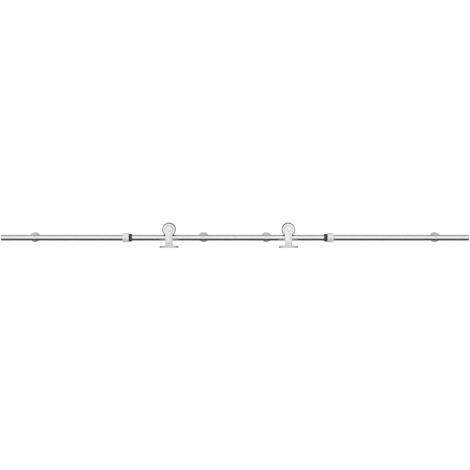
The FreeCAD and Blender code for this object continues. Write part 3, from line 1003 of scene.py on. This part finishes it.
class TRACK_OT_stops(bpy.types.Operator):
    """Clamped collars, rubber buffers and clamp screws of both door stops"""

    bl_idname = "track.stops"
    bl_label = "Door stops"

    def collar(self, side, way, sizes):
        """A ring with a rounded back and a seat for the buffer; way points to the hangers."""
        node, buffer = side + "_stop_collar", side + "_stop_buffer"
        line, radius = line_of(node, X), radius_of(node)
        bore, seat = radius_of("rail_tube_left") + FIT, radius_of(buffer) + FIT
        back, face = sorted((corner.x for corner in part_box(node)), key=lambda x: x * way)
        floor = min((corner.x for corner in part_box(buffer)), key=lambda x: x * way)
        nose = rounded_corner(back, radius, way, sizes.collar_round, 8)
        outline = [(back, bore)] + nose[::-1] + [(face, radius), (face, seat), (floor, seat), (floor, bore)]
        front = line_of(side + "_stop_clamp_screw", Y) + Y * (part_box(node)[0].y - 2 * PAST)
        cutters = [round_cutter(front, Y, sizes.clamp_hole, radius)]
        piece = turned_piece(node + "_finished", line, X, outline, sizes.facets, sizes.edge, 3, cutters)
        finish(piece, "satin", side + "_stop", node)

    def buffer(self, side, sizes):
        node = side + "_stop_buffer"
        low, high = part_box(node)
        bore, radius = radius_of("rail_tube_left") + 2 * FIT, radius_of(node)
        outline = [(low.x, bore), (low.x, radius), (high.x, radius), (high.x, bore)]
        piece = lathe(node + "_finished", line_of(node, X), X, outline, sizes.facets)
        round_edges(piece, 0.0009, 4)
        finish(piece, "rubber", side + "_stop", node)

    def clamp_screw(self, side):
        node = side + "_stop_clamp_screw"
        low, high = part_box(node)
        mouth = line_of(node, Y) + Y * low.y
        piece = set_screw(node + "_finished", mouth, Y, high.x - low.x, high.y - low.y)
        finish(piece, "fastener", side + "_stop", node)

    def execute(self, context):
        sizes = context.scene.track_sizes
        for side, way in (("left", 1), ("right", -1)):
            self.collar(side, way, sizes)
            self.buffer(side, sizes)
            self.clamp_screw(side)
        return {"FINISHED"}


# Studio

class TRACK_OT_studio(bpy.types.Operator):
    """Pale floor, soft light all round with a darker ground, and the camera"""

    bl_idname = "track.studio"
    bl_label = "Studio"

    def floor(self, studio, rail):
        nothing_selected()
        bpy.ops.mesh.primitive_plane_add(size=60, location=(0, 0, rail.z - studio.floor_drop))
        floor = bpy.context.object
        floor.name = "studio_floor"
        floor.data.materials.append(MATERIALS["floor"])
        floor.visible_glossy = False

    def world(self, studio):
        """Light by direction: bright in front, softer at the sides, dim behind, dark from below."""
        world = bpy.data.worlds.new("Studio light")
        bpy.context.scene.world = world
        world.use_nodes = True
        tree = world.node_tree
        background = tree.nodes["Background"]
        coordinates = add_node(tree, "ShaderNodeTexCoord")
        split = add_node(tree, "ShaderNodeSeparateXYZ")
        tree.links.new(coordinates.outputs["Generated"], split.inputs["Vector"])
        by_height = self.ramp(tree, split.outputs["Z"], (
            (-1.0, 0.05), (-0.93, 0.08), (-0.8, 0.16), (-0.5, 0.42), (-0.12, 0.82), (0.1, 1.0), (0.5, 1.0),
            (0.8, 0.98), (1.0, 0.84),
        ))
        by_depth = self.ramp(tree, split.outputs["Y"], (
            (-1.0, 1.0), (-0.85, 0.93), (-0.6, 0.76), (-0.3, 0.58), (0.0, 0.46), (0.3, 0.36), (0.7, 0.24),
            (1.0, 0.18),
        ))
        both = add_node(tree, "ShaderNodeMath", operation="MULTIPLY")
        tree.links.new(by_height, both.inputs[0])
        tree.links.new(by_depth, both.inputs[1])
        level = add_node(tree, "ShaderNodeMath", operation="MULTIPLY")
        level.inputs[1].default_value = studio.front_light * studio.light
        tree.links.new(both.outputs["Value"], level.inputs[0])
        seen = add_node(tree, "ShaderNodeLightPath")
        choice = add_node(tree, "ShaderNodeMix", data_type="FLOAT")
        choice.inputs[3].default_value = 1.0
        tree.links.new(seen.outputs["Is Camera Ray"], choice.inputs[0])
        tree.links.new(level.outputs["Value"], choice.inputs[2])
        tree.links.new(choice.outputs[0], background.inputs["Strength"])
        background.inputs["Color"].default_value = (1, 1, 1, 1)

    def ramp(self, tree, value, levels):
        """A grey ramp over the range -1 to 1."""
        share = add_node(tree, "ShaderNodeMapRange")
        share.inputs["From Min"].default_value = -1
        share.inputs["From Max"].default_value = 1
        tree.links.new(value, share.inputs["Value"])
        ramp = add_node(tree, "ShaderNodeValToRGB")
        elements = ramp.color_ramp.elements
        while len(elements) < len(levels):
            elements.new(0.5)
        for element, (position, grey) in zip(elements, levels):
            element.position = (position + 1) / 2
            element.color = (grey, grey, grey, 1)
        tree.links.new(share.outputs["Result"], ramp.inputs["Fac"])
        return ramp.outputs["Color"]

    def softbox(self, name, place, aim, size, power):
        nothing_selected()
        bpy.ops.object.light_add(type="AREA", location=place)
        light = bpy.context.object
        light.name = name
        light.data.shape = "RECTANGLE"
        light.data.size, light.data.size_y = size
        light.data.energy = power
        light.rotation_euler = (aim - Vector(place)).to_track_quat("-Z", "Y").to_euler()
        light.visible_glossy = False

    def camera(self, studio, rail):
        nothing_selected()
        aim = rail + Z * studio.aim_above
        away = Vector((0, -math.cos(studio.height), math.sin(studio.height)))
        bpy.ops.object.camera_add(location=aim + away * studio.distance)
        camera = bpy.context.object
        camera.name = "studio_camera"
        camera.rotation_euler = (-away).to_track_quat("-Z", "Y").to_euler()
        camera.data.sensor_width = 36
        camera.data.lens = camera.data.sensor_width * studio.distance / studio.view_width
        camera.data.clip_end = 200
        bpy.context.scene.camera = camera
        bpy.context.scene.view_settings.view_transform = "Standard"

    def execute(self, context):
        studio = context.scene.track_studio
        rail = line_of("rail_tube_left", X)
        self.floor(studio, rail)
        self.world(studio)
        self.softbox("front_softbox", (-1.2, -3.2, 2.4), rail, (2.4, 1.6), 60 * studio.light)
        self.softbox("top_softbox", (0.8, -0.4, 3.2), rail, (3.0, 2.0), 50 * studio.light)
        self.camera(studio, rail)
        return {"FINISHED"}


class TRACK_PT_panel(bpy.types.Panel):
    """Everything that builds the track set"""

    bl_idname = "TRACK_PT_panel"
    bl_label = "Track set"
    bl_space_type = "VIEW_3D"
    bl_region_type = "UI"
    bl_category = "Track"

    def draw(self, context):
        layout = self.layout
        for group in ("track_sizes", "track_finish", "track_studio"):
            settings = getattr(context.scene, group)
            box = layout.box()
            for name in settings.bl_rna.properties.keys():
                if name not in ("rna_type", "name"):
                    box.prop(settings, name)
        for operator in OPERATORS:
            layout.operator(operator.bl_idname)


OPERATORS = (
    TRACK_OT_materials,
    TRACK_OT_studio,
    TRACK_OT_rail,
    TRACK_OT_standoffs,
    TRACK_OT_hanger_frames,
    TRACK_OT_wheels,
    TRACK_OT_axles,
    TRACK_OT_stops,
)
GROUPS = (TrackSizes, TrackFinish, TrackStudio)


def register():
    for item in GROUPS + OPERATORS + (TRACK_PT_panel,):
        bpy.utils.register_class(item)
    bpy.types.Scene.track_sizes = bpy.props.PointerProperty(type=TrackSizes)
    bpy.types.Scene.track_finish = bpy.props.PointerProperty(type=TrackFinish)
    bpy.types.Scene.track_studio = bpy.props.PointerProperty(type=TrackStudio)


def unregister():
    del bpy.types.Scene.track_studio
    del bpy.types.Scene.track_finish
    del bpy.types.Scene.track_sizes
    for item in reversed(GROUPS + OPERATORS + (TRACK_PT_panel,)):
        bpy.utils.unregister_class(item)


def main():
    register()
    for operator in OPERATORS:
        family, name = operator.bl_idname.split(".")
        getattr(getattr(bpy.ops, family), name)()


if __name__ == "__main__":
    main()
